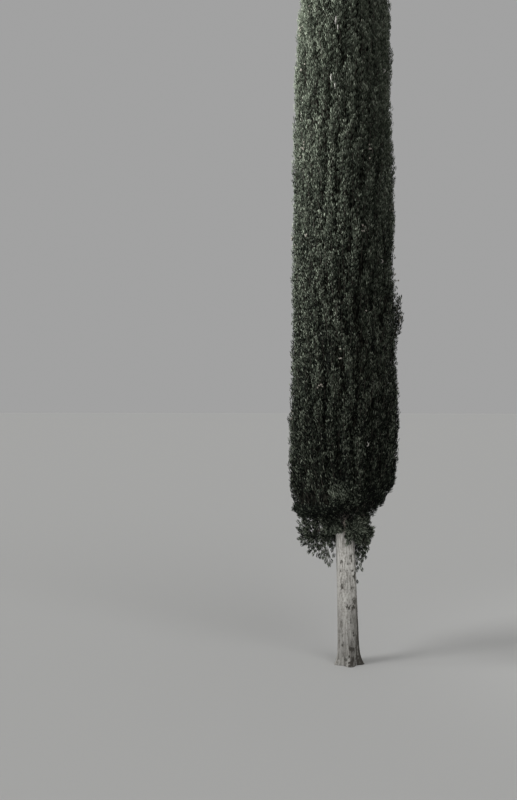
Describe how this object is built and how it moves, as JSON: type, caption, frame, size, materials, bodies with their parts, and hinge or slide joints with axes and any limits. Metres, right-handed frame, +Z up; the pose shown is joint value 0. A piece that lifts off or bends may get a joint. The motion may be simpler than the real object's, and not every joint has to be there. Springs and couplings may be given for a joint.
{
  "type": "pencil cypress tree",
  "caption": "Tall narrow evergreen: upright plumes packed round one straight trunk in a slim column, with a bare pale stem below and a ragged skirt of loose sprays.",
  "frame": {"origin": "middle of the flat cut under the trunk, at ground level", "axes": "+Z up the trunk, +X to the right and -Y towards the viewer as the picture shows the tree"},
  "size_m": [2.5466, 2.4523, 21.5001],
  "materials": {
    "bark": "pale weathered bark in long upright fibres, matt",
    "limb_bark": "thin grey-brown bark on boughs and twigs, matt",
    "foliage": "dense dark grey-green scale-leaved sprays, matt",
    "cone": "dry grey-brown woody cones, matt"
  },
  "bodies": {
    "root": {"trunk": "bark", "bough_1": "limb_bark", "bough_2": "limb_bark", "bough_3": "limb_bark", "bough_4": "limb_bark", "bough_5": "limb_bark", "bough_6": "limb_bark", "foliage_foot_1": "foliage", "foliage_foot_2": "foliage", "foliage_foot_3": "foliage", "foliage_foot_4": "foliage", "foliage_foot_5": "foliage", "foliage_foot_6": "foliage", "foliage_low_1": "foliage", "foliage_low_2": "foliage", "foliage_low_3": "foliage", "foliage_low_4": "foliage", "foliage_low_5": "foliage", "foliage_lower_middle_1": "foliage", "foliage_lower_middle_2": "foliage", "foliage_lower_middle_3": "foliage", "foliage_lower_middle_4": "foliage", "foliage_lower_middle_5": "foliage", "foliage_middle_1": "foliage", "foliage_middle_2": "foliage", "foliage_middle_3": "foliage", "foliage_middle_4": "foliage", "foliage_middle_5": "foliage", "foliage_upper_middle_1": "foliage", "foliage_upper_middle_2": "foliage", "foliage_upper_middle_3": "foliage", "foliage_upper_middle_4": "foliage", "foliage_upper_middle_5": "foliage", "foliage_high_1": "foliage", "foliage_high_2": "foliage", "foliage_high_3": "foliage", "foliage_high_4": "foliage", "foliage_top_1": "foliage", "foliage_top_2": "foliage", "foliage_top_3": "foliage", "foliage_leader": "foliage", "skirt_right": "foliage", "skirt_right_back": "foliage", "skirt_left_back": "foliage", "skirt_left": "foliage", "skirt_left_front": "foliage", "skirt_right_front": "foliage"}
  },
  "joints": []
}
